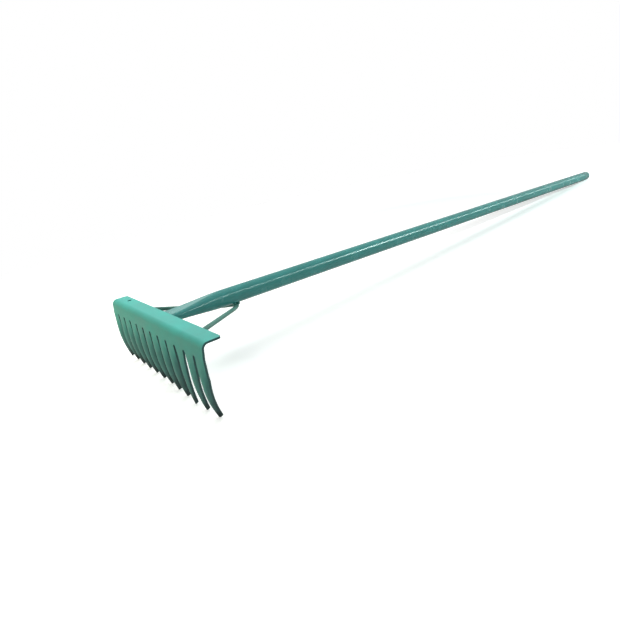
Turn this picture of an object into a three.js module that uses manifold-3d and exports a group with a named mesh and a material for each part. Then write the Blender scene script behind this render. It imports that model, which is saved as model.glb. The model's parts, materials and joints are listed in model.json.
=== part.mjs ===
// Garden rake, all steel: a pressed head with stiff curved tines, a straight tube handle flattened where
// it passes under the head's flange, a bent rod brace under the handle, and the weld beads that join them.
//
// Millimetres, +Z up. The rake lies as it is put down: tine tips and the far end of the handle on the
// ground, head towards -Y, handle towards +Y. The origin is the middle of its box, on the ground.
import * as THREE from "three";
import { mergeVertices } from "three/addons/utils/BufferGeometryUtils.js";
import Module from "manifold-3d";

const wasm = await Module();
wasm.setup();

// ---- Driving dimensions ----

// Pressed head. Depths are measured down from the top of the flange, and distances back from the line
// where the flange's top would meet the plate's front face if the bend were sharp. Each tine is pressed
// into a gutter, whose depth is how far its edges stand back from its middle and whose run-in is the
// share of its length over which that depth is reached, and from there its tip loses the fade's share.
// Its turn is how far back its right edge stands.
const sheet = 2.5;
const flangeDepth = 23.2;
const bendRadius = 8;
const plateLean = THREE.MathUtils.degToRad(7);
const tineCount = 12;
const tinePitch = 25.9;
const outerTineToEnd = 10;
const slotWidth = 6;
const slotTopDepth = 18.2;
const tineTipWidth = 7;
const tineTipDepth = 92;
const tineCurveStartDepth = 29;
const tineCurveRadius = 145;
const gutterDepth = 3;
const gutterRunIn = 0.35;
const gutterFade = 0.3;
const tineTurn = 1.2;
const hangHoleDiameter = 6;
const hangHoleFromEnd = 36;
const flangeCornerRadius = 4;

// Tube handle
const tubeDiameter = 25;
const tubeWall = 1.2;
const handleEnd = 1393;
const flatHeight = 10.6;
const flatStart = 10;
const flatPastFlange = 2;
const neckLength = 85;

// Plug in the handle's far end
const plugStemLength = 22;
const plugStemWall = 2.4;
const plugShoulder = 1.2;
const plugDomeHeight = 6;
const plugRimInset = 0.4;

// Bent rod brace
const rodDiameter = 6;
const braceSpread = 105;
const braceFootBelowBend = 2;
const braceApexDistance = 132;
const braceApexRadius = 12;
const braceElbowPastTube = 2.5;
const braceElbowRadius = 25;

// Weld beads. The tongue beads lie in the grooves between the flange and the flattened tube's rounded
// edges: how far out along the edge, and how far down, are shares of the edge's and the bead's radius.
const beadRadius = 2.4;
const rearBeadInset = 1;
const tongueBeadRadius = 2;
const tongueBeadOut = 0.85;
const tongueBeadDown = 0.6;
const apexBeadLength = 9;
const footBeadWidth = 2.6;

// Clearances
const weldGap = 0.3;
const plugClearance = 0.3;

// How finely the curved surfaces are divided
const mergeDistance = 1e-4;
const arcSteps = 8;
const tineCurveSteps = 14;
const stripsPerTine = 8;
const gutterEnd = 1.5;
const tubeSides = 32;
const neckSteps = 12;
const braceSteps = 64;

// ---- Values that follow from them ----

const headWidth = (tineCount - 1) * tinePitch + 2 * outerTineToEnd;
const bendReach = bendRadius * Math.tan((Math.PI / 2 - plateLean) / 2);
const tubeRadius = tubeDiameter / 2;
const rodRadius = rodDiameter / 2;
const tubeDepth = sheet + weldGap + flatHeight / 2;
const flatHalfWidth = halfFlatOfTube(flatHeight);
const flatEnd = flangeDepth + flatPastFlange;
const braceFootDepth = bendRadius + braceFootBelowBend;
const braceApexDepth = tubeDepth + tubeRadius + weldGap + rodRadius;
const braceElbowFromMiddle = tubeRadius + braceElbowPastTube;

// The centre of the circle that the outside of the tines follows.
const curveCentreY = tineCurveRadius * Math.cos(plateLean) - tineCurveStartDepth * Math.tan(plateLean);
const curveCentreDepth = tineCurveStartDepth + tineCurveRadius * Math.sin(plateLean);

// ---- Solids ----

function toSolid(geometry) {
  const bare = geometry.index ? geometry.toNonIndexed() : geometry.clone();
  const extras = Object.keys(bare.attributes).filter((name) => name !== "position");
  for (const name of extras) {
    bare.deleteAttribute(name);
  }
  const merged = mergeVertices(bare, mergeDistance);
  const mesh = new wasm.Mesh({
    numProp: 3,
    vertProperties: new Float32Array(merged.attributes.position.array),
    triVerts: new Uint32Array(merged.index.array),
  });
  return new wasm.Manifold(mesh);
}

function toGeometry(solid) {
  const mesh = solid.getMesh();
  const geometry = new THREE.BufferGeometry();
  geometry.setAttribute("position", new THREE.BufferAttribute(new Float32Array(mesh.vertProperties), 3));
  geometry.setIndex(new THREE.BufferAttribute(new Uint32Array(mesh.triVerts), 1));
  geometry.computeVertexNormals();
  return geometry;
}

function extrude(outline, depth) {
  return new THREE.ExtrudeGeometry(outline, { depth, bevelEnabled: false, curveSegments: arcSteps });
}

// ---- Pressed head ----

// The head's section in the Y-Z plane, as a run of points and outward normals along the outside of the
// sheet: along the flange from its rear edge, round the bend, down the plate and along the tine's curve.
function outsideOfSheet() {
  const run = [{ y: flangeDepth, z: 0, ny: 0, nz: 1 }];
  const turn = Math.PI / 2 - plateLean;
  for (let i = 0; i <= arcSteps; i++) {
    const a = (turn * i) / arcSteps;
    const ny = -Math.sin(a);
    const nz = Math.cos(a);
    run.push({ y: bendReach + bendRadius * ny, z: bendRadius * (nz - 1), ny, nz });
  }
  const plateNormal = { ny: -Math.cos(plateLean), nz: Math.sin(plateLean) };
  run.push({ y: -slotTopDepth * Math.tan(plateLean), z: -slotTopDepth, ...plateNormal });
  const endAngle = Math.asin((tineTipDepth + sheet - curveCentreDepth) / tineCurveRadius);
  for (let i = 0; i <= tineCurveSteps; i++) {
    const a = ((plateLean + endAngle) * i) / tineCurveSteps - plateLean;
    const ny = -Math.cos(a);
    const nz = -Math.sin(a);
    run.push({ y: curveCentreY + tineCurveRadius * ny, z: tineCurveRadius * nz - curveCentreDepth, ny, nz });
  }
  return run;
}

// How far a point of the sheet is set back by its tine's gutter and turn. It stops growing past the
// tine's edges, where the slots are cut.
function setBack(x, z) {
  const middleTine = (tineCount - 1) / 2;
  const tine = THREE.MathUtils.clamp(Math.round(x / tinePitch + middleTine), 0, tineCount - 1);
  const start = slotTopDepth + sheet;
  const share = THREE.MathUtils.clamp((-z - start) / (tineTipDepth - start), 0, 1);
  const halfWidth = ((tinePitch - slotWidth) * (1 - share) + tineTipWidth * share) / 2;
  const offMiddle = (x - (tine - middleTine) * tinePitch) / halfWidth;
  const off = THREE.MathUtils.clamp(offMiddle, -gutterEnd, gutterEnd);
  const pressed = Math.min(share / gutterRunIn, 1) * (1 - gutterFade * share);
  return (gutterDepth * off * off + tineTurn * off) * pressed;
}

// Part of the sheet before its slots are cut: a stretch of its run, extruded across the head. For cutting
// the weld beads back from it, grow thickens it at its back and edges, and cover thickens its outside.
function sheetGeometry(run, steps = 1, grow = 0, cover = 0) {
  const outside = run.map((p) => new THREE.Vector2(p.y + p.ny * cover, p.z + p.nz * cover));
  const depth = sheet + grow;
  const inside = run.map((p) => new THREE.Vector2(p.y - p.ny * depth, p.z - p.nz * depth));
  const outline = new THREE.Shape([...outside, ...inside.reverse()]);
  const width = Math.ceil(headWidth / tinePitch) * tinePitch + 2 * grow;
  const geometry = new THREE.ExtrudeGeometry(outline, { depth: width, steps, bevelEnabled: false });
  geometry.translate(0, 0, -width / 2);
  const acrossHead = new THREE.Matrix4().makeBasis(
    new THREE.Vector3(0, 1, 0),
    new THREE.Vector3(0, 0, 1),
    new THREE.Vector3(1, 0, 0),
  );
  geometry.applyMatrix4(acrossHead);
  return geometry;
}

// The sheet's run with its rear edge moved back by the welds' gap.
function grownRun() {
  const run = outsideOfSheet();
  run[0].y += weldGap;
  return run;
}

// The sheet bent and pressed: plain down to the slots' tops, and in gutters from there to the tips. The
// two stretches share the flat of the plate above the slots' tops.
function pressedSheet() {
  const run = outsideOfSheet();
  const slotTops = run.length - tineCurveSteps - 2;
  const strips = Math.ceil(headWidth / tinePitch) * stripsPerTine;
  const plain = sheetGeometry(run.slice(0, slotTops + 1));
  const gutters = sheetGeometry(run.slice(slotTops - 1), strips);
  const points = gutters.attributes.position;
  for (let i = 0; i < points.count; i++) {
    points.setY(i, points.getY(i) + setBack(points.getX(i), points.getZ(i)));
  }
  return toSolid(plain).add(toSolid(gutters));
}

// The head's outline seen from the front, as a comb: tapered tines with round tips, and slots with
// round tops midway between them.
function combSolid() {
  const tip = tineTipWidth / 2;
  const slot = slotWidth / 2;
  const half = headWidth / 2;
  const comb = new THREE.Shape();
  comb.moveTo(half, sheet);
  comb.lineTo(-half, sheet);
  comb.lineTo(-half, -slotTopDepth);
  for (let i = 0; i < tineCount; i++) {
    const x = (i - (tineCount - 1) / 2) * tinePitch;
    comb.lineTo(x - tip, -tineTipDepth + tip);
    comb.absarc(x, -tineTipDepth + tip, tip, Math.PI, 2 * Math.PI, false);
    if (i < tineCount - 1) {
      const slotX = x + tinePitch / 2;
      comb.lineTo(slotX - slot, -slotTopDepth - slot);
      comb.absarc(slotX, -slotTopDepth - slot, slot, Math.PI, 0, true);
    }
  }
  comb.lineTo(half, -slotTopDepth);
  comb.closePath();
  const reach = 2 * (flangeDepth + tineTipDepth);
  const geometry = extrude(comb, reach);
  geometry.rotateX(Math.PI / 2);
  geometry.translate(0, reach / 2, 0);
  return toSolid(geometry);
}

// The head's outline seen from above: the flange's two rear corners are rounded, and the paint-line
// hanging hole is in the middle of the flange's flat, near the left end.
function planSolid() {
  const half = headWidth / 2;
  const radius = flangeCornerRadius;
  const front = -tineTipDepth;
  const plan = new THREE.Shape();
  plan.moveTo(-half, front);
  plan.lineTo(half, front);
  plan.lineTo(half, flangeDepth - radius);
  plan.absarc(half - radius, flangeDepth - radius, radius, 0, Math.PI / 2, false);
  plan.lineTo(-half + radius, flangeDepth);
  plan.absarc(-half + radius, flangeDepth - radius, radius, Math.PI / 2, Math.PI, false);
  plan.closePath();
  const hole = new THREE.Path();
  const middleOfFlat = (bendReach + flangeDepth) / 2;
  hole.absarc(hangHoleFromEnd - half, middleOfFlat, hangHoleDiameter / 2, 0, 2 * Math.PI, true);
  plan.holes.push(hole);
  const reach = 2 * tineTipDepth;
  const geometry = extrude(plan, reach);
  geometry.translate(0, 0, sheet - reach);
  return toSolid(geometry);
}

function rakeHead() {
  return toGeometry(pressedSheet().intersect(combSolid()).intersect(planSolid()));
}

// ---- Tube handle ----

// Half the flat side of a tube squeezed to a height, its length round the outside unchanged.
function halfFlatOfTube(height) {
  return (Math.PI * (tubeDiameter - height)) / 4;
}

// The handle's height along its length: flat under the flange, then opening smoothly to the full round.
function tubeHeightAt(y) {
  const t = THREE.MathUtils.clamp((y - flatEnd) / neckLength, 0, 1);
  const eased = t * t * (3 - 2 * t);
  return flatHeight + (tubeDiameter - flatHeight) * eased;
}

function tubeStations() {
  const stations = [flatStart, flatEnd];
  for (let i = 1; i <= neckSteps; i++) {
    stations.push(flatEnd + (neckLength * i) / neckSteps);
  }
  stations.push(handleEnd);
  return stations;
}

// One ring of points round the tube, inset from its outside: two half circles joined by flats.
function tubeRing(y, inset) {
  const height = tubeHeightAt(y);
  const flat = halfFlatOfTube(height);
  const radius = height / 2 - inset;
  const ring = [];
  for (let i = 0; i < tubeSides; i++) {
    const a = ((i + 0.5) * 2 * Math.PI) / tubeSides;
    const x = Math.sign(Math.cos(a)) * flat + radius * Math.cos(a);
    ring.push([x, y, -tubeDepth + radius * Math.sin(a)]);
  }
  return ring;
}

// Joins rings of equal count into one closed surface. The last ring joins the first, so a run of rings
// out along the outside and back along the bore makes a tube.
function loftClosed(rings) {
  const sides = rings[0].length;
  const positions = rings.flat(2);
  const faces = [];
  for (let r = 0; r < rings.length; r++) {
    const next = (r + 1) % rings.length;
    for (let i = 0; i < sides; i++) {
      const j = (i + 1) % sides;
      const [a, b] = [r * sides + i, r * sides + j];
      const [c, d] = [next * sides + i, next * sides + j];
      faces.push(a, b, d, a, d, c);
    }
  }
  const geometry = new THREE.BufferGeometry();
  geometry.setAttribute("position", new THREE.Float32BufferAttribute(positions, 3));
  geometry.setIndex(faces);
  return geometry;
}

// A tube wall between two insets from the handle's outside.
function tubeBetween(outer, inner) {
  const stations = tubeStations();
  const outside = stations.map((y) => tubeRing(y, outer)).reverse();
  const inside = stations.map((y) => tubeRing(y, inner));
  return loftClosed([...outside, ...inside]);
}

function handleTube() {
  return tubeBetween(0, tubeWall);
}

// The tube grown by the gap and with a thick wall, for cutting the weld beads back from it.
function grownTubeSolid() {
  return toSolid(tubeBetween(-weldGap, flatHeight / 4));
}

// ---- Plug in the handle's end ----

function endPlug() {
  const stem = tubeRadius - tubeWall - plugClearance;
  const bore = stem - plugStemWall;
  const rim = tubeRadius - plugRimInset;
  const floor = -plugClearance - plugStemWall;
  const points = [
    new THREE.Vector2(0, floor),
    new THREE.Vector2(bore, floor),
    new THREE.Vector2(bore, -plugStemLength),
    new THREE.Vector2(stem, -plugStemLength),
    new THREE.Vector2(stem, 0),
  ];
  points.push(new THREE.Vector2(rim, 0));
  for (let i = 0; i < arcSteps; i++) {
    const a = (i / arcSteps) * (Math.PI / 2);
    const height = plugShoulder + (plugDomeHeight - plugShoulder) * Math.sin(a);
    points.push(new THREE.Vector2(rim * Math.cos(a), height));
  }
  points.push(new THREE.Vector2(0, plugDomeHeight));
  const geometry = new THREE.LatheGeometry(points, tubeSides);
  geometry.translate(0, handleEnd + plugClearance, -tubeDepth);
  return geometry;
}

// ---- Brace ----

// A rod's centre line through corner points, each corner rounded by its own radius.
function roundedPath(points, radii) {
  const path = new THREE.CurvePath();
  let from = points[0];
  for (let i = 1; i < points.length - 1; i++) {
    const back = points[i - 1].clone().sub(points[i]).normalize();
    const ahead = points[i + 1].clone().sub(points[i]).normalize();
    const reach = radii[i - 1] / Math.tan(back.angleTo(ahead) / 2);
    const start = points[i].clone().addScaledVector(back, reach);
    const end = points[i].clone().addScaledVector(ahead, reach);
    path.add(new THREE.LineCurve3(from, start));
    path.add(new THREE.QuadraticBezierCurve3(start, points[i], end));
    from = end;
  }
  path.add(new THREE.LineCurve3(from, points[points.length - 1]));
  return path;
}

// Where the plate's back is at a depth, between the bend and the start of the tines' curve.
function plateBackAt(depth) {
  return -depth * Math.tan(plateLean) + sheet / Math.cos(plateLean);
}

// The corners of one arm of the brace: its foot on the plate's back, the elbow where it levels out
// beside the tube, and the apex under the tube. The rod is cut square, so the foot's near edge stops
// just short of the plate.
function braceCorners(side) {
  const apex = new THREE.Vector3(0, braceApexDistance, -braceApexDepth);
  const foot = new THREE.Vector3(side * braceSpread, plateBackAt(braceFootDepth), -braceFootDepth);
  const inPlan = new THREE.Vector3(foot.x, foot.y - apex.y, 0).normalize();
  foot.y += weldGap + rodRadius * (Math.abs(inPlan.x) + Math.tan(plateLean));
  const elbow = apex.clone().addScaledVector(inPlan, braceElbowFromMiddle / Math.abs(inPlan.x));
  return { foot, elbow, apex, inPlan };
}

// The brace's rod. For cutting the weld beads back from it, grow thickens it and lengthens its ends.
function braceRod(grow = 0) {
  const left = braceCorners(-1);
  const right = braceCorners(1);
  for (const { foot, elbow } of [left, right]) {
    const outwards = foot.clone().sub(elbow).normalize();
    foot.addScaledVector(outwards, grow);
  }
  const corners = [left.foot, left.elbow, left.apex, right.elbow, right.foot];
  const path = roundedPath(corners, [braceElbowRadius, braceApexRadius, braceElbowRadius]);
  const section = new THREE.Shape();
  section.absarc(0, 0, rodRadius + grow, 0, 2 * Math.PI, false);
  const along = { steps: braceSteps, extrudePath: path, bevelEnabled: false, curveSegments: arcSteps };
  return new THREE.ExtrudeGeometry(section, along);
}

// ---- Weld beads ----

// A bead laid along a direction with its middle at a point, cut back from the pieces it joins.
function bead(radius, length, direction, middle, cutters) {
  const geometry = new THREE.CapsuleGeometry(radius, length, arcSteps / 2, 2 * arcSteps);
  const turn = new THREE.Quaternion().setFromUnitVectors(new THREE.Vector3(0, 1, 0), direction);
  geometry.applyQuaternion(turn);
  return cutBack(geometry, middle, cutters);
}

// A bead laid all round the end of a rod, cut back from the rod and the piece that it stands on.
function ringBead(radius, middle, cutters) {
  return cutBack(new THREE.SphereGeometry(radius, 3 * arcSteps, 2 * arcSteps), middle, cutters);
}

function cutBack(geometry, middle, cutters) {
  geometry.translate(middle.x, middle.y, middle.z);
  return toGeometry(cutters.reduce((solid, cutter) => solid.subtract(cutter), toSolid(geometry)));
}

function weldBeads() {
  const head = toSolid(sheetGeometry(grownRun(), 1, weldGap, tubeDiameter));
  const tube = grownTubeSolid();
  const rod = toSolid(braceRod(weldGap));
  const acrossX = new THREE.Vector3(1, 0, 0);
  const alongY = new THREE.Vector3(0, 1, 0);
  const beads = {};

  const rearCorner = new THREE.Vector3(0, flangeDepth + weldGap, -sheet);
  const rearLength = 2 * (flatHalfWidth - rearBeadInset);
  beads.weld_flange_rear = bead(beadRadius, rearLength, acrossX, rearCorner, [head, tube]);

  const tongueLength = flangeDepth - flatStart;
  for (const [name, side] of [["left", -1], ["right", 1]]) {
    const middle = new THREE.Vector3(
      side * (flatHalfWidth + tongueBeadOut * (flatHeight / 2)),
      flatStart + tongueLength / 2,
      -sheet - weldGap - tongueBeadDown * tongueBeadRadius,
    );
    const length = tongueLength - 2 * tongueBeadRadius;
    beads[`weld_tongue_${name}`] = bead(tongueBeadRadius, length, alongY, middle, [head, tube]);

    const { foot } = braceCorners(side);
    beads[`weld_foot_${name}`] = ringBead(rodRadius + footBeadWidth, foot, [head, rod]);
  }

  const { apex, foot } = braceCorners(1);
  const halfAngle = Math.atan2(foot.x, apex.y - foot.y);
  const apexY = apex.y - braceApexRadius / Math.sin(halfAngle) + braceApexRadius;
  for (const [name, side] of [["front", -1], ["rear", 1]]) {
    const middle = new THREE.Vector3(0, apexY + side * rodRadius, -tubeDepth - tubeRadius - weldGap);
    beads[`weld_apex_${name}`] = bead(beadRadius, apexBeadLength, acrossX, middle, [tube, rod]);
  }
  return beads;
}

// ---- Materials ----

function enamel(color, roughness) {
  return new THREE.MeshStandardMaterial({ color, roughness, metalness: 0.1 });
}

const headEnamel = enamel(0x5fb8a6, 0.5);
const tubeEnamel = enamel(0x2f857a, 0.25);
const rodEnamel = enamel(0x4f8f80, 0.4);
const weldEnamel = enamel(0x3f8376, 0.5);
const plugEnamel = enamel(0x3c8c7c, 0.4);

// ---- Assembly ----

const rake = new THREE.Group();

function addPiece(name, geometry, material) {
  const piece = new THREE.Mesh(geometry, material);
  piece.name = name;
  rake.add(piece);
}

addPiece("rake_head", rakeHead(), headEnamel);
addPiece("handle_tube", handleTube(), tubeEnamel);
addPiece("end_plug", endPlug(), plugEnamel);
addPiece("brace_rod", braceRod(), rodEnamel);
for (const [name, geometry] of Object.entries(weldBeads())) {
  addPiece(name, geometry, weldEnamel);
}

// Laid on the ground: turned until the back of the tine tips and the foot of the handle's far end are
// level, then moved so that the middle of its box is over the origin.
const tipBackAngle = Math.asin((tineTipDepth - curveCentreDepth) / (tineCurveRadius - sheet));
const tipBackY = curveCentreY - (tineCurveRadius - sheet) * Math.cos(tipBackAngle);
rake.rotation.x = -Math.atan2(tineTipDepth - tubeDepth - tubeRadius, handleEnd - tipBackY);
rake.updateMatrixWorld(true);
const extent = new THREE.Box3().setFromObject(rake, true);
rake.position.y = -(extent.min.y + extent.max.y) / 2;
rake.position.z = -extent.min.z;

const model = new THREE.Group();
model.add(rake);

export default model;
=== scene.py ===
import json
import math

import bmesh
import bpy
from mathutils import Matrix, Vector, noise


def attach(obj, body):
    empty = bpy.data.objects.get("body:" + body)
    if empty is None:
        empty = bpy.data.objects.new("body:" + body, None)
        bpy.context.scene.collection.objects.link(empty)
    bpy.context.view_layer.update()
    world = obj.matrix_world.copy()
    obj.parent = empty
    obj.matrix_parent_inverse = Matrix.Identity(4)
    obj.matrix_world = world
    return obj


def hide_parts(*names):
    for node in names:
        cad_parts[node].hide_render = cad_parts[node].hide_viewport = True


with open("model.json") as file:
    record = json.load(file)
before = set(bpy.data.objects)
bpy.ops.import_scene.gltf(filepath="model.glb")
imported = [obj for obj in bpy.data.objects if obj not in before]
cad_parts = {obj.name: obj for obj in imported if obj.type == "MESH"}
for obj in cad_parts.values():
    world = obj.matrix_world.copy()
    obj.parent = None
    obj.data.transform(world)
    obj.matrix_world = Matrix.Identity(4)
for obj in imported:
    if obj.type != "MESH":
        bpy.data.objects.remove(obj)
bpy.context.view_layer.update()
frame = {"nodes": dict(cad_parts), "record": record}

# ---- Pressed head ----
# The head is one strip of sheet steel. It is blanked flat as a comb, pressed over a round-nosed die to
# a flange on top and a plate in front, its twelve tines are curled back, and it is dipped in enamel.

# The flange's top and the plate's front are flat. The rake is set out in millimetres from the sharp
# line in which those two faces would meet: across the head, back along the handle, and up.
faces = {mount["name"]: mount for mount in frame["record"]["mounts"]}
flange_up = Vector(faces["flange_top"]["axis"]).normalized()
plate_out = Vector(faces["plate_front"]["axis"]).normalized()
flange_level = flange_up.dot(Vector(faces["flange_top"]["pos_m"]))
plate_level = plate_out.dot(Vector(faces["plate_front"]["pos_m"]))
both_faces = Matrix((flange_up.yz, plate_out.yz))
set_out_line = both_faces.inverted() @ Vector((flange_level, plate_level))
MM = 0.001
rake_axes = Matrix((Vector((1, 0, 0)), flange_up.cross(Vector((1, 0, 0))), flange_up)).transposed()
rake_to_frame = Matrix.Translation((0, *set_out_line)) @ rake_axes.to_4x4() @ Matrix.Scale(MM, 4)
frame_to_rake = rake_to_frame.inverted()


def reach(node):
    """A CAD node's lowest and highest corner in the rake's own directions, in millimetres."""
    places = [frame_to_rake @ v.co for v in frame["nodes"][node].data.vertices]
    low = Vector(min(p[i] for p in places) for i in range(3))
    high = Vector(max(p[i] for p in places) for i in range(3))
    return low, high


def add_piece(name, bm, material, replaced):
    """Makes a named piece from a bmesh set out in the rake's millimetres, in place of CAD nodes."""
    bmesh.ops.recalc_face_normals(bm, faces=bm.faces)
    for face in bm.faces:
        face.smooth = True
    bm.transform(rake_to_frame)
    mesh = bpy.data.meshes.new(name)
    bm.to_mesh(mesh)
    bm.free()
    piece = bpy.data.objects.new(name, mesh)
    bpy.context.scene.collection.objects.link(piece)
    mesh.materials.append(material)
    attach(piece, "root")
    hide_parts(*replaced)
    return piece


head_low, head_high = reach("rake_head")
head_half = head_high.x
flange_depth = head_high.y
tip_depth = -head_low.z
sheet = 2.5
plate_lean = math.acos(-plate_out.dot(rake_axes.col[1]))
bend_radius = 8
tines = 12
outer_tine_to_end = 10
tine_pitch = 2 * (head_half - outer_tine_to_end) / (tines - 1)
slot_width = 6
slot_top_depth = 18.2
tip_width = 7
curl_start_depth = 29
curl_radius = 145
gutter_depth = 3.0
gutter_run_in = 0.35
gutter_fade = 0.3
corner_radius = 4
broken_edge = 0.5
hang_hole = 6
hang_hole_from_end = 36
hole_sides = 24
corner_steps = 8
bend_rows = 14
curl_rows = 24
columns_per_tine = 8

# The sheet is drawn this little lower and further back, so that its turned tines stay in the CAD's box.
room_in_box = 0.02

# How far each tine's tip has been knocked out of line in use: sideways, and back towards the handle.
# The knock grows from below the tine's foremost point, at this share of the way from slot top to tip.
tine_sideways = [0.0, 0.4, 0.0, 0.5, 0.0, 0.8, 1.0, 0.4, 0.6, 1.5, 0.0, 0.6]
tine_back = [0.0, 0.5, 0.4, 0.2, 0.6, 0.5, 0.9, -0.2, -0.6, -2.6, -0.2, 1.6]
knock_start = 0.46
# Shearing the slots turned each tine a little: how far back its right edge stands from its middle.
tine_turn = [1.2, 1.0, 1.3, 1.1, 0.9, 1.2, 1.2, 1.2, 1.2, -0.6, 0.2, 1.2]

# Distances down the outside of the sheet, from the flange's rear edge.
bend_reach = bend_radius * math.tan((math.pi / 2 - plate_lean) / 2)
bend_turn = math.pi / 2 - plate_lean
curl_turn = plate_lean + math.asin(
    (tip_depth - curl_start_depth - curl_radius * math.sin(plate_lean)) / curl_radius
)
flange_end = flange_depth - bend_reach
bend_end = flange_end + bend_radius * bend_turn
curl_start = bend_end + curl_start_depth / math.cos(plate_lean) - bend_reach
tip_end = curl_start + curl_radius * curl_turn
slot_top = bend_end + slot_top_depth / math.cos(plate_lean) - bend_reach


def on_sheet(x, down, depth):
    """The place in the pressed sheet of a point of the flat blank, at a depth below its outside."""
    if down <= flange_end:
        return Vector((x, flange_depth - down, -depth))
    if down <= bend_end:
        turn = (down - flange_end) / bend_radius
        radius = bend_radius - depth
        return Vector((x, bend_reach - radius * math.sin(turn), radius * math.cos(turn) - bend_radius))
    if down <= curl_start:
        fall = bend_reach + down - bend_end
        along = Vector((x, -fall * math.sin(plate_lean), -fall * math.cos(plate_lean)))
        return along + depth * Vector((0, math.cos(plate_lean), -math.sin(plate_lean)))
    centre_y = curl_radius * math.cos(plate_lean) - curl_start_depth * math.tan(plate_lean)
    centre_z = -curl_start_depth - curl_radius * math.sin(plate_lean)
    turn = (down - curl_start) / curl_radius - plate_lean
    radius = curl_radius - depth
    return Vector((x, centre_y - radius * math.cos(turn), centre_z - radius * math.sin(turn)))


def formed(place, down):
    """Sets a tine's edges back into a gutter, and knocks the tine out of line from its slots' top."""
    if down <= slot_top:
        return place
    tine = min(max(round(place.x / tine_pitch + (tines - 1) / 2), 0), tines - 1)
    run = (down - slot_top) / (tip_end - slot_top)
    half_width = (tine_pitch - slot_width) / 2 * (1 - run) + tip_width / 2 * run
    off_middle = (place.x - (tine - (tines - 1) / 2) * tine_pitch) / half_width
    pressed = min(run / gutter_run_in, 1) * (1 - gutter_fade * run)
    set_back = (gutter_depth * off_middle**2 + tine_turn[tine] * off_middle) * pressed
    below_belly = max(run - knock_start, 0) / (1 - knock_start)
    knock = Vector((tine_sideways[tine], tine_back[tine], 0)) * below_belly**2
    return place + knock + Vector((0, set_back, 0))


def arc_points(centre, radius, start, end, steps):
    """Points round part of a circle, both ends included."""
    turns = [start + (end - start) * i / steps for i in range(steps + 1)]
    return [(centre[0] + radius * math.cos(t), centre[1] + radius * math.sin(t)) for t in turns]


def blank_outline():
    """The flat comb's outline: across the head, and down the sheet from the flange's rear edge."""
    half_tip, half_slot = tip_width / 2, slot_width / 2
    quarter = math.pi / 2
    corner_x = head_half - corner_radius
    outline = arc_points((corner_x, corner_radius), corner_radius, 0, -quarter, corner_steps)
    outline += arc_points((-corner_x, corner_radius), corner_radius, -quarter, -2 * quarter, corner_steps)
    outline.append((-head_half, slot_top))
    for i in range(tines):
        x = (i - (tines - 1) / 2) * tine_pitch
        outline += arc_points((x, tip_end - half_tip), half_tip, math.pi, 0, 12)
        if i < tines - 1:
            outline += arc_points((x + tine_pitch / 2, slot_top + half_slot), half_slot, -math.pi, 0, 10)
    outline.append((head_half, slot_top))
    return outline


def cut_blank(bm, places, across, first, last):
    """Cuts lines square to a direction into the blank's faces between two distances down the sheet."""
    for place in places:
        faces = [f for f in bm.faces if first < f.calc_center_median().y < last]
        parts = set(faces)
        for face in faces:
            parts.update(face.edges)
            parts.update(face.verts)
        bmesh.ops.bisect_plane(bm, geom=list(parts), plane_co=across * place, plane_no=across, dist=1e-4)


def punch_hole(bm, x, down, radius):
    """Opens the square cell of the blank at a place, and fills it back up to a round hole."""
    cell = min(bm.faces, key=lambda f: (f.calc_center_bounds() - Vector((x, down, 0))).length)
    corners = sorted(cell.verts, key=lambda v: math.atan2(v.co.y - down, v.co.x - x))
    bm.faces.remove(cell)
    rim = []
    for i in range(hole_sides):
        turn = 2 * math.pi * i / hole_sides - 0.75 * math.pi
        rim.append(bm.verts.new((x + radius * math.cos(turn), down + radius * math.sin(turn), 0)))
    quarter = hole_sides // 4
    for i in range(4):
        arc = [rim[(i * quarter + j) % hole_sides] for j in range(quarter + 1)]
        bm.faces.new([corners[(i + 1) % 4], corners[i]] + arc)


def rake_head():
    """The flat blank, cut into rows and columns, is given its thickness and put in its pressed place."""
    bm = bmesh.new()
    bm.faces.new([bm.verts.new((x, down, 0)) for x, down in blank_outline()])
    across, along = Vector((1, 0, 0)), Vector((0, 1, 0))
    hole_x, hole_down, pad = hang_hole_from_end - head_half, flange_end / 2, 0.8 * hang_hole
    rows = [hole_down - pad, hole_down + pad, slot_top]
    rows += [flange_end + (bend_end - flange_end) * i / bend_rows for i in range(bend_rows + 1)]
    rows += [curl_start + (tip_end - curl_start) * i / curl_rows for i in range(curl_rows)]
    cut_blank(bm, rows, along, 0, tip_end)
    cut_blank(bm, [hole_x - pad, hole_x + pad], across, hole_down - pad, hole_down + pad)
    punch_hole(bm, hole_x, hole_down, hang_hole / 2)
    columns = [(i / columns_per_tine - tines / 2) * tine_pitch for i in range(1, columns_per_tine * tines)]
    cut_blank(bm, columns, across, slot_top, tip_end)
    front = bm.faces[:]
    rim = [edge for edge in bm.edges if edge.is_boundary]
    made = bmesh.ops.duplicate(bm, geom=bm.verts[:] + bm.edges[:] + front)["vert_map"]
    back = {vert: made[vert] for face in front for vert in face.verts}
    for edge in rim:
        a, b = edge.verts
        bm.faces.new((a, b, back[b], back[a])).material_index = 1
    for depth, verts in ((0, list(back)), (sheet, list(back.values()))):
        for vert in verts:
            x, down, _ = vert.co
            vert.co = formed(on_sheet(x, down, depth), down) + Vector((0, room_in_box, -room_in_box))
    return bm


def edge_radius(piece, radius, segments=3):
    """Breaks a pressing's cut edges and keeps its flat faces flat in the light."""
    bevel = piece.modifiers.new("broken edges", "BEVEL")
    bevel.width = radius * MM
    bevel.segments = segments
    bevel.limit_method = "ANGLE"
    bevel.angle_limit = math.radians(40)
    level = piece.modifiers.new("flat faces", "WEIGHTED_NORMAL")
    level.keep_sharp = True


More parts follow.
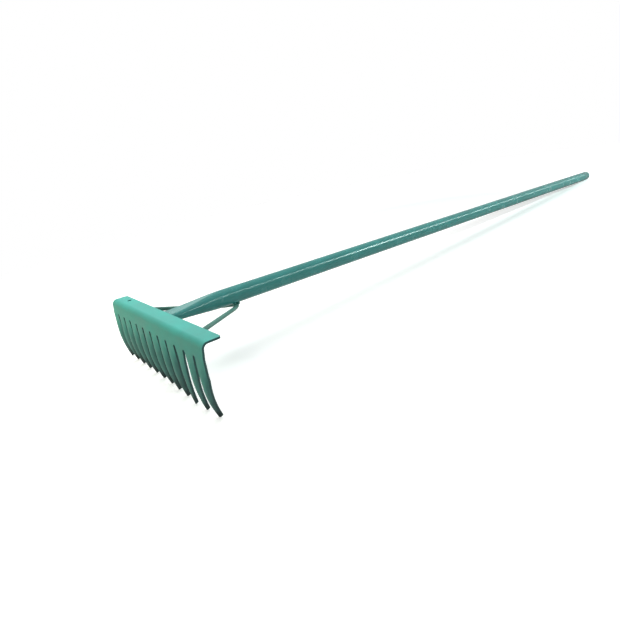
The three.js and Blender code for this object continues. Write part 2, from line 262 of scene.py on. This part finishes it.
def new_group(name, inputs, outputs):
    """A node group with named sockets; inputs are (name, kind, value) and outputs (name, kind)."""
    group = bpy.data.node_groups.new(name, "ShaderNodeTree")
    for socket, kind, value in inputs:
        made = group.interface.new_socket(socket, in_out="INPUT", socket_type=kind)
        made.default_value = value
    for socket, kind in outputs:
        group.interface.new_socket(socket, in_out="OUTPUT", socket_type=kind)
    start = group.nodes.new("NodeGroupInput")
    end = group.nodes.new("NodeGroupOutput")
    return group, start, end


def noise_texture(tree, where, scale, detail=2.0, roughness=0.5):
    texture = tree.nodes.new("ShaderNodeTexNoise")
    texture.inputs["Scale"].default_value = scale
    texture.inputs["Detail"].default_value = detail
    texture.inputs["Roughness"].default_value = roughness
    tree.links.new(where, texture.inputs["Vector"])
    return texture.outputs["Fac"]


def remap(tree, value, low, high, new_low, new_high):
    """Stretches one range of a value over another, and stops at its ends."""
    node = tree.nodes.new("ShaderNodeMapRange")
    tree.links.new(value, node.inputs["Value"])
    for socket, number in zip(("From Min", "From Max", "To Min", "To Max"), (low, high, new_low, new_high)):
        if isinstance(number, (int, float)):
            node.inputs[socket].default_value = number
        else:
            tree.links.new(number, node.inputs[socket])
    return node.outputs["Result"]


def sums(tree, operation, a, b):
    node = tree.nodes.new("ShaderNodeMath")
    node.operation = operation
    for socket, value in zip(node.inputs, (a, b)):
        if isinstance(value, (int, float)):
            socket.default_value = value
        else:
            tree.links.new(value, socket)
    return node.outputs["Value"]


def blend_colours(tree, share, first, second, how="MIX"):
    node = tree.nodes.new("ShaderNodeMix")
    node.data_type = "RGBA"
    node.blend_type = how
    for socket, value in (("Factor", share), ("A", first), ("B", second)):
        if isinstance(value, (int, float, tuple)):
            node.inputs[socket].default_value = value
        else:
            tree.links.new(value, node.inputs[socket])
    return node.outputs["Result"]


def dipped_enamel_group():
    """Enamel as it dries after dipping: clouded colour, a fine peel, thin paint on edges, and dust."""
    group, start, end = new_group(
        "dipped enamel",
        [
            ("Enamel", "NodeSocketColor", (0.1, 0.4, 0.35, 1)),
            ("Thin paint", "NodeSocketColor", (0.05, 0.2, 0.18, 1)),
            ("Dust", "NodeSocketFloat", 0.2),
            ("Gloss", "NodeSocketFloat", 0.3),
        ],
        [("Colour", "NodeSocketColor"), ("Roughness", "NodeSocketFloat"), ("Height", "NodeSocketFloat")],
    )
    place = group.nodes.new("ShaderNodeTexCoord").outputs["Object"]
    shape = group.nodes.new("ShaderNodeNewGeometry")
    clouds = noise_texture(group, place, scale=28, detail=4, roughness=0.6)
    peel = noise_texture(group, place, scale=420)
    grit = noise_texture(group, place, scale=1500, detail=1)
    patches = noise_texture(group, place, scale=160, detail=3)
    drifts = noise_texture(group, place, scale=60, detail=5, roughness=0.7)
    brighter = remap(group, clouds, 0.3, 0.7, 0.9, 1.1)
    clouded = blend_colours(group, 1.0, start.outputs["Enamel"], brighter, "MULTIPLY")
    rounded = group.nodes.new("ShaderNodeBevel")
    rounded.samples = 4
    rounded.inputs["Radius"].default_value = 1.2 * MM
    alike = group.nodes.new("ShaderNodeVectorMath")
    alike.operation = "DOT_PRODUCT"
    group.links.new(rounded.outputs["Normal"], alike.inputs[0])
    group.links.new(shape.outputs["Normal"], alike.inputs[1])
    edges = remap(group, alike.outputs["Value"], 0.97, 0.85, 0, 0.8)
    patchy = sums(group, "MULTIPLY", edges, remap(group, patches, 0.4, 0.65, 0, 1))
    thinned = blend_colours(group, patchy, clouded, start.outputs["Thin paint"])
    facing = group.nodes.new("ShaderNodeSeparateXYZ")
    group.links.new(shape.outputs["Normal"], facing.inputs["Vector"])
    upwards = remap(group, facing.outputs["Z"], 0.5, 1.0, 0, start.outputs["Dust"])
    settled = sums(group, "MULTIPLY", upwards, remap(group, drifts, 0.35, 0.7, 0, 1))
    dusty = blend_colours(group, settled, thinned, dust_colour)
    group.links.new(dusty, end.inputs["Colour"])
    scuffed = remap(group, clouds, 0.35, 0.7, 0, 0.12)
    rough = sums(group, "ADD", sums(group, "ADD", start.outputs["Gloss"], scuffed), settled)
    group.links.new(rough, end.inputs["Roughness"])
    height = sums(group, "ADD", peel, sums(group, "MULTIPLY", grit, 0.12))
    group.links.new(height, end.inputs["Height"])
    return group


dust_colour = (0.42, 0.52, 0.47, 1)
dipped_enamel = dipped_enamel_group()


def enamel_material(name, enamel, thin_paint, dust, gloss, peel_height, coat):
    """A dipped piece's own material: the shared enamel effect with this piece's values."""
    material = bpy.data.materials.new(name)
    material.use_nodes = True
    tree = material.node_tree
    surface = tree.nodes["Principled BSDF"]
    effect = tree.nodes.new("ShaderNodeGroup")
    effect.node_tree = dipped_enamel
    effect.inputs["Enamel"].default_value = (*enamel, 1)
    effect.inputs["Thin paint"].default_value = (*thin_paint, 1)
    effect.inputs["Dust"].default_value = dust
    effect.inputs["Gloss"].default_value = gloss
    bump = tree.nodes.new("ShaderNodeBump")
    bump.inputs["Distance"].default_value = peel_height * MM
    tree.links.new(effect.outputs["Height"], bump.inputs["Height"])
    tree.links.new(effect.outputs["Colour"], surface.inputs["Base Color"])
    tree.links.new(effect.outputs["Roughness"], surface.inputs["Roughness"])
    tree.links.new(bump.outputs["Normal"], surface.inputs["Normal"])
    surface.inputs["Coat Weight"].default_value = coat
    surface.inputs["Coat Roughness"].default_value = 0.12
    return material, effect


head_enamel, head_effect = enamel_material(
    "head enamel",
    enamel=(0.07, 0.46, 0.40),
    thin_paint=(0.03, 0.12, 0.11),
    dust=0.05,
    gloss=0.42,
    peel_height=0.08,
    coat=0.05,
)
# The sheet's cut edges take a darker enamel: partly thin paint on the sheared edges, partly painted shade
# for the dark side bands between the tines.
cut_edge_paint_and_shade, cut_effect = enamel_material(
    "cut edge enamel and painted shade",
    enamel=(0.03, 0.16, 0.17),
    thin_paint=(0.02, 0.07, 0.09),
    dust=0.0,
    gloss=0.4,
    peel_height=0.12,
    coat=0.0,
)


dried_soil = (0.19, 0.2, 0.205, 1)
# Painted shade: the colour laid on the tines' side-facing slopes, standing in for the shade in the slots
# between the tines.
painted_flank_shade = (0.025, 0.085, 0.075, 1)
# The colour each tine's last stretch turns to towards its tip.
dark_tip_colour = (0.022, 0.034, 0.04, 1)


def soil_film_flank_shade_and_dark_tips(material, effect):
    """Each tine has a grey film of dried soil, painted shade on its side-facing slopes, and a last stretch
    that turns darker towards the tip.
    """
    tree = material.node_tree
    coordinates = tree.nodes.new("ShaderNodeTexCoord")
    place = coordinates.outputs["Object"]
    height = tree.nodes.new("ShaderNodeSeparateXYZ")
    tree.links.new(place, height.inputs["Vector"])
    ragged = remap(tree, noise_texture(tree, place, scale=120, detail=4), 0.3, 0.7, -6 * MM, 6 * MM)
    ragged_height = sums(tree, "ADD", height.outputs["Z"], ragged)
    # Darker towards the tip: the lowest 4 to 24 mm, with a ragged upper edge.
    tip_darkening = remap(tree, ragged_height, 4 * MM, 24 * MM, 0.85, 0)
    film = remap(tree, ragged_height, 20 * MM, 75 * MM, 0.4, 0)
    filmed = blend_colours(tree, film, effect.outputs["Colour"], dried_soil)
    turned = tree.nodes.new("ShaderNodeSeparateXYZ")
    tree.links.new(coordinates.outputs["Normal"], turned.inputs["Vector"])
    # Painted shade: faces turned sideways across the head take a darker colour, standing in for the shade
    # between the tines.
    flank_shade_mask = remap(tree, sums(tree, "ABSOLUTE", turned.outputs["X"], 0), 0.35, 0.8, 0, 0.7)
    flank_shaded = blend_colours(tree, flank_shade_mask, filmed, painted_flank_shade)
    colour = blend_colours(tree, tip_darkening, flank_shaded, dark_tip_colour)
    surface = tree.nodes["Principled BSDF"]
    tree.links.new(colour, surface.inputs["Base Color"])


soil_film_flank_shade_and_dark_tips(head_enamel, head_effect)
soil_film_flank_shade_and_dark_tips(cut_edge_paint_and_shade, cut_effect)
head = add_piece("head", rake_head(), head_enamel, ["rake_head"])
head.data.materials.append(cut_edge_paint_and_shade)
edge_radius(head, broken_edge)

# ---- Tube handle ----
# The handle is welded steel tube. Its head end is squeezed flat to lie under the flange, the neck
# opens from there to the full round, and the outside is enamelled to a high gloss.

tube_low, tube_high = reach("handle_tube")
tube_radius = (tube_high.z - tube_low.z) / 2
tube_depth = -(tube_high.z + tube_low.z) / 2
handle_start, handle_end = tube_low.y, tube_high.y
tube_wall = 1.2
flat_height = 10.6
flat_end = flange_depth + 2
neck_length = 85


def tube_height(y):
    """The tube's height along its length, eased from the flat to the round."""
    opened = min(max((y - flat_end) / neck_length, 0), 1)
    eased = opened * opened * (3 - 2 * opened)
    return flat_height + (2 * tube_radius - flat_height) * eased


def tube_ring(y, inset, sides):
    """A ring of points inside the tube's surface: two half circles joined by flats."""
    height = tube_height(y)
    half_flat = math.pi * (2 * tube_radius - height) / 4
    radius = height / 2 - inset
    ring = []
    for i in range(sides):
        turn = 2 * math.pi * (i + 0.5) / sides
        side = math.copysign(half_flat, math.cos(turn))
        ring.append((side + radius * math.cos(turn), y, radius * math.sin(turn) - tube_depth))
    return ring


def join_rings(bm, rings, closed=False):
    """Skins a run of rings of equal count, and joins the last to the first where the run is closed."""
    made = [[bm.verts.new(p) for p in ring] for ring in rings]
    pairs = list(zip(made, made[1:] + made[:1])) if closed else list(zip(made, made[1:]))
    for ring, following in pairs:
        for i in range(len(ring)):
            j = (i + 1) % len(ring)
            bm.faces.new((ring[i], ring[j], following[j], following[i]))
    return made


def handle_tube():
    sides = 72
    lip = 0.25
    neck_steps = 34
    straight_steps = 40
    neck_end = flat_end + neck_length
    stretch = (handle_end - flat_end - neck_length) / straight_steps
    stations = [handle_start + lip, flat_end]
    stations += [flat_end + neck_length * (i + 1) / neck_steps for i in range(neck_steps)]
    stations += [neck_end + stretch * (i + 1) for i in range(straight_steps - 1)] + [handle_end - lip]
    outside = [tube_ring(handle_start, lip, sides)] + [tube_ring(y, 0, sides) for y in stations]
    outside.append(tube_ring(handle_end, lip, sides))
    bore = [tube_ring(y, tube_wall, sides) for y in [handle_end] + stations[::-1] + [handle_start]]
    bm = bmesh.new()
    join_rings(bm, outside + bore, closed=True)
    return bm


handle_enamel, _ = enamel_material(
    "handle enamel",
    enamel=(0.033, 0.25, 0.232),
    thin_paint=(0.02, 0.1, 0.09),
    dust=0.03,
    gloss=0.19,
    peel_height=0.008,
    coat=0.3,
)
handle = add_piece("handle", handle_tube(), handle_enamel, ["handle_tube"])

# ---- End plug ----
# A pressed steel cap closes the handle's far end. Its skirt is driven into the tube, and its dome and
# rolled shoulder stay outside.

plug_low, plug_high = reach("end_plug")
plug_radius = plug_high.x
plug_top = plug_high.y - 0.05
plug_shoulder = 1.2
plug_skirt_wall = 2.4
plug_gap = 0.3
plug_lip = 0.3
skirt_radius = tube_radius - tube_wall - plug_gap


def end_plug():
    """The plug's section turned about the tube's middle line."""
    sides = 64
    foot = plug_low.y
    seat = handle_end + plug_gap
    hollow_radius = skirt_radius - plug_skirt_wall
    profile = [(hollow_radius, seat - plug_skirt_wall), (hollow_radius, foot), (skirt_radius, foot)]
    profile += [(skirt_radius, seat), (plug_radius - plug_lip, seat), (plug_radius, seat + plug_lip)]
    dome_steps = 14
    dome_height = plug_top - seat - plug_shoulder
    for i in range(dome_steps):
        turn = math.pi / 2 * i / dome_steps
        profile.append((plug_radius * math.cos(turn), seat + plug_shoulder + dome_height * math.sin(turn)))
    turns = [2 * math.pi * i / sides for i in range(sides)]
    rings = [[(r * math.cos(t), y, r * math.sin(t) - tube_depth) for t in turns] for r, y in profile]
    bm = bmesh.new()
    made = join_rings(bm, rings)
    bm.faces.new(made[0])
    top = bm.verts.new((0, plug_top, -tube_depth))
    for i in range(sides):
        bm.faces.new((made[-1][i], made[-1][(i + 1) % sides], top))
    return bm


plug_enamel, _ = enamel_material(
    "plug enamel",
    enamel=(0.06, 0.30, 0.26),
    thin_paint=(0.02, 0.1, 0.09),
    dust=0.15,
    gloss=0.25,
    peel_height=0.05,
    coat=0.3,
)
plug = add_piece("plug", end_plug(), plug_enamel, ["end_plug"])

# ---- Brace ----
# One mild steel rod is bent cold to a V. It passes under the handle, and both square-cut ends are
# butted against the back of the plate.

rod_low, _ = reach("brace_rod")
rod_radius = 3
brace_apex_depth = -rod_low.z - rod_radius
brace_apex_distance = 132
brace_apex_radius = 12
brace_spread = 105
brace_foot_depth = bend_radius + 2
brace_elbow_from_middle = tube_radius + 2.5
brace_elbow_radius = 25
weld_gap = 0.3


def brace_corners(side):
    """One arm's foot on the plate, its elbow beside the tube, and the apex under the tube."""
    apex = Vector((0, brace_apex_distance, -brace_apex_depth))
    foot_y = sheet / math.cos(plate_lean) - brace_foot_depth * math.tan(plate_lean)
    foot = Vector((side * brace_spread, foot_y, -brace_foot_depth))
    in_plan = Vector((foot.x, foot.y - apex.y, 0)).normalized()
    foot.y += weld_gap + rod_radius * (abs(in_plan.x) + math.tan(plate_lean))
    elbow = apex + in_plan * (brace_elbow_from_middle / abs(in_plan.x))
    return foot, elbow, apex


def bent_line(corners, radii, bend_steps):
    """A centre line through corners, each rounded by its own radius."""
    line = [corners[0]]
    for i in range(1, len(corners) - 1):
        corner = corners[i]
        before = (corners[i - 1] - corner).normalized()
        after = (corners[i + 1] - corner).normalized()
        bend = radii[i - 1] / math.tan(before.angle(after) / 2)
        start, end = corner + before * bend, corner + after * bend
        for step in range(bend_steps + 1):
            t = step / bend_steps
            line.append(start * (1 - t) ** 2 + corner * 2 * t * (1 - t) + end * t * t)
    line.append(corners[-1])
    return line


def rings_along(line, radii, sides, up=Vector((0, 0, 1))):
    """Rings square to a centre line, each with its own radius."""
    rings = []
    for i, centre in enumerate(line):
        ahead = (line[min(i + 1, len(line) - 1)] - line[max(i - 1, 0)]).normalized()
        beside = ahead.cross(up).normalized()
        above = beside.cross(ahead)
        turns = [2 * math.pi * j / sides for j in range(sides)]
        rings.append([centre + (beside * math.cos(t) + above * math.sin(t)) * radii[i] for t in turns])
    return rings


def brace_rod():
    left, right = brace_corners(-1), brace_corners(1)
    corners = [left[0], left[1], left[2], right[1], right[0]]
    line = bent_line(corners, [brace_elbow_radius, brace_apex_radius, brace_elbow_radius], 12)
    lip = 0.3
    ahead, behind = (line[1] - line[0]).normalized(), (line[-2] - line[-1]).normalized()
    line = [line[0], line[0] + ahead * lip] + line[1:-1] + [line[-1] + behind * lip, line[-1]]
    radii = [rod_radius - lip] + [rod_radius] * (len(line) - 2) + [rod_radius - lip]
    bm = bmesh.new()
    made = join_rings(bm, rings_along(line, radii, 32))
    bm.faces.new(made[0])
    bm.faces.new(made[-1])
    return bm


brace_enamel, _ = enamel_material(
    "brace enamel",
    enamel=(0.09, 0.24, 0.20),
    thin_paint=(0.03, 0.12, 0.11),
    dust=0.1,
    gloss=0.3,
    peel_height=0.05,
    coat=0.2,
)
brace = add_piece("brace", brace_rod(), brace_enamel, ["brace_rod"])

# ---- Weld beads ----
# Hand-laid beads join the handle to the flange, and the brace to the plate and the handle. Each is a
# row of overlapping ripples, enamelled over with the rest.

weld_enamel, _ = enamel_material(
    "weld enamel",
    enamel=(0.05, 0.27, 0.23),
    thin_paint=(0.02, 0.08, 0.07),
    dust=0.3,
    gloss=0.35,
    peel_height=0.15,
    coat=0.2,
)
ripple_pitch = 1.5
ripple_height = 0.16
wander_length = 3
wander_depth = 0.25
wander_seed = 1
noise.seed_set(wander_seed)


def wander(bm, seed):
    """Bends a bead's surface slightly in and out, as a hand-laid weld is."""
    for vert in bm.verts:
        vert.co += noise.noise_vector(vert.co / wander_length + Vector((seed * 7, 0, 0))) * wander_depth


def weld_bead(name, node, start, end, radius, seed):
    """A rippled bead with blunt ends, laid from start to end."""
    sides = 28
    steps = 48
    along = end - start
    length = along.length + 2 * radius
    line, radii = [], []
    for i in range(steps + 1):
        run = length * i / steps
        from_end = min(run, length - run)
        rounded = math.sqrt(max(1 - (1 - min(from_end / radius, 1)) ** 2, 0.002))
        ripple = ripple_height * math.cos(2 * math.pi * run / ripple_pitch)
        line.append(start + along.normalized() * (run - radius))
        radii.append((radius + ripple) * rounded)
    bm = bmesh.new()
    made = join_rings(bm, rings_along(line, radii, sides))
    bm.faces.new(made[0])
    bm.faces.new(made[-1])
    wander(bm, seed)
    return add_piece(name, bm, weld_enamel, [node])


def weld_collar(name, node, centre, axis, radius, seed):
    """A bead run all round the end of the rod."""
    steps, sides = 64, 20
    ripples = 14
    beside = axis.cross(Vector((0, 0, 1))).normalized()
    above = beside.cross(axis)
    turns = [2 * math.pi * i / sides for i in range(sides)]
    rings = []
    for i in range(steps):
        around = 2 * math.pi * i / steps
        out = beside * math.cos(around) + above * math.sin(around)
        bead = radius + ripple_height * math.cos(around * ripples)
        middle = centre + out * rod_radius
        rings.append([middle + (out * math.cos(t) + axis * math.sin(t)) * bead for t in turns])
    bm = bmesh.new()
    join_rings(bm, rings, closed=True)
    wander(bm, seed)
    return add_piece(name, bm, weld_enamel, [node])


half_flat = math.pi * (2 * tube_radius - flat_height) / 4
rear_half, rear_y, rear_z = half_flat - 1, flange_depth + 0.3, -sheet - 0.2
weld_bead(
    "weld_behind_flange",
    "weld_flange_rear",
    start=Vector((-rear_half, rear_y, rear_z)),
    end=Vector((rear_half, rear_y, rear_z)),
    radius=1.9,
    seed=1,
)
tongue_from_end = 2
tongue_z = -sheet - 1.2
foot_from_plate = 0.8
for side, word in ((-1, "left"), (1, "right")):
    tongue_x = side * (half_flat + 0.85 * flat_height / 2)
    weld_bead(
        f"weld_tongue_{word}_side",
        f"weld_tongue_{word}",
        start=Vector((tongue_x, handle_start + tongue_from_end, tongue_z)),
        end=Vector((tongue_x, flange_depth - tongue_from_end, tongue_z)),
        radius=1.8,
        seed=2 + side,
    )
    foot, elbow, _ = brace_corners(side)
    axis = (elbow - foot).normalized()
    weld_collar(
        f"weld_foot_{word}_arm",
        f"weld_foot_{word}",
        centre=foot + axis * foot_from_plate,
        axis=axis,
        radius=2.0,
        seed=5 + side,
    )

apex_z = -tube_depth - tube_radius - 0.2
apex_blunt_end = 2.2
for side, word in ((-1, "front"), (1, "rear")):
    node_low, node_high = reach(f"weld_apex_{word}")
    apex_y = (node_low.y + node_high.y) / 2
    apex_half = (node_high.x - node_low.x) / 2 - apex_blunt_end
    weld_bead(
        f"weld_apex_{word}_side",
        f"weld_apex_{word}",
        start=Vector((-apex_half, apex_y, apex_z)),
        end=Vector((apex_half, apex_y, apex_z)),
        radius=2.1,
        seed=8 + side,
    )

# ---- Floor, light and camera ----
# The rake lies on a wide sheet of white paper that fades into a white backdrop. Broad soft lamps light
# it evenly, two strip lamps beside the handle and a card beyond the neck give the enamel its streaks,
# and a wide lens looks along the head from close by.

floor_half = 6.0
below_rake = 0.0005
paper_thrown, paper_seen = 0.6, 0.9
glow_near, glow_start, glow_full = 0.32, 0.6, 0.95
fade_start, fade_end = 0.95, 1.7
bm = bmesh.new()
bmesh.ops.create_grid(bm, x_segments=1, y_segments=1, size=floor_half)
floor_mesh = bpy.data.meshes.new("floor")
bm.to_mesh(floor_mesh)
bm.free()
floor = bpy.data.objects.new("floor", floor_mesh)
floor.location.z = -below_rake
bpy.context.scene.collection.objects.link(floor)


def grey(level):
    return (level, level, level, 1)


def floor_paper():
    """White paper that fades into the white backdrop, and throws back less light than it shows."""
    material = bpy.data.materials.new("floor paper")
    material.use_nodes = True
    tree = material.node_tree
    surface = tree.nodes["Principled BSDF"]
    seen = tree.nodes.new("ShaderNodeLightPath").outputs["Is Camera Ray"]
    paper = blend_colours(tree, seen, grey(paper_thrown), grey(paper_seen))
    distance = tree.nodes.new("ShaderNodeVectorMath")
    distance.operation = "LENGTH"
    tree.links.new(tree.nodes.new("ShaderNodeTexCoord").outputs["Object"], distance.inputs[0])
    brighter = remap(tree, distance.outputs["Value"], glow_start, glow_full, glow_near, 1)
    glow = blend_colours(tree, seen, grey(0), brighter)
    tree.links.new(paper, surface.inputs["Base Color"])
    tree.links.new(glow, surface.inputs["Emission Color"])
    surface.inputs["Emission Strength"].default_value = 1.0
    surface.inputs["Roughness"].default_value = 1.0
    surface.inputs["Specular IOR Level"].default_value = 0.0
    fade = remap(tree, distance.outputs["Value"], fade_start, fade_end, 1, 0)
    tree.links.new(fade, surface.inputs["Alpha"])
    return material


floor_mesh.materials.append(floor_paper())


def soft_light(name, place, aim, width, height, power, tint=(1, 1, 1)):
    """A rectangular lamp at a place, turned to face a point, with its width level."""
    lamp = bpy.data.lights.new(name, "AREA")
    lamp.shape = "RECTANGLE"
    lamp.size = width
    lamp.size_y = height
    lamp.energy = power
    lamp.color = tint
    holder = bpy.data.objects.new(name, lamp)
    holder.location = place
    holder.rotation_euler = (Vector(aim) - Vector(place)).to_track_quat("-Z", "Y").to_euler()
    bpy.context.scene.collection.objects.link(holder)
    return holder


key = soft_light("key", (-0.35, -0.4, 1.0), (0, -0.65, 0), 0.9, 0.9, 10.3)
top = soft_light("top", (-0.6, 0.5, 2.0), (0, 0.2, 0), 2.4, 2.4, 1.5)
fill = soft_light("front fill", (-0.7, -1.3, 0.35), (-0.1, -0.7, 0.05), 0.4, 0.4, 3.4, (0.98, 1, 0.6))
side = soft_light("side", (2.0, 2.0, 0.8), (0, 0.4, 0), 3.0, 1.4, 12)
soft_light("near strip", (1.15, 1.35, 0.9), (0, 1.35, 0.06), 0.7, 0.05, 13, (0.8, 1, 0.97))
soft_light("far strip", (1.15, 2.4, 0.9), (0, 2.4, 0.06), 4.8, 0.05, 23, (0.8, 1, 0.97))
neck = (0, -0.62, 0.09)
card = soft_light("card beyond the neck", (-1.09, -0.31, 0.55), neck, 0.4, 0.36, 0.38, (0.7, 1, 0.94))
for lamp in (key, top, fill, side):
    lamp.visible_glossy = False
card.visible_diffuse = False

world = bpy.data.worlds.new("studio")
bpy.context.scene.world = world
world.use_nodes = True
air = world.node_tree
ray = air.nodes.new("ShaderNodeLightPath")
air_thrown, air_mirrored, air_seen = 0.14, 0.5, 1
thrown = blend_colours(air, ray.outputs["Is Glossy Ray"], grey(air_thrown), grey(air_mirrored))
shade = blend_colours(air, ray.outputs["Is Camera Ray"], thrown, grey(air_seen))
air.links.new(shade, air.nodes["Background"].inputs["Color"])

lens = 25.34
camera_place = rake_to_frame @ Vector((546.7, -157.2, 155.7))
heading, dip, roll = (math.radians(a) for a in (53.66, 20.38, -11.16))
camera_data = bpy.data.cameras.new("camera")
camera_data.lens = lens
camera_data.sensor_width = 36
camera_data.clip_start = 0.02
camera = bpy.data.objects.new("camera", camera_data)
camera.matrix_world = (
    Matrix.Translation(camera_place)
    @ Matrix.Rotation(heading, 4, "Z")
    @ Matrix.Rotation(math.pi / 2 - dip, 4, "X")
    @ Matrix.Rotation(roll, 4, "Z")
)
bpy.context.scene.collection.objects.link(camera)
bpy.context.scene.camera = camera
bpy.context.scene.view_settings.view_transform = "Standard"
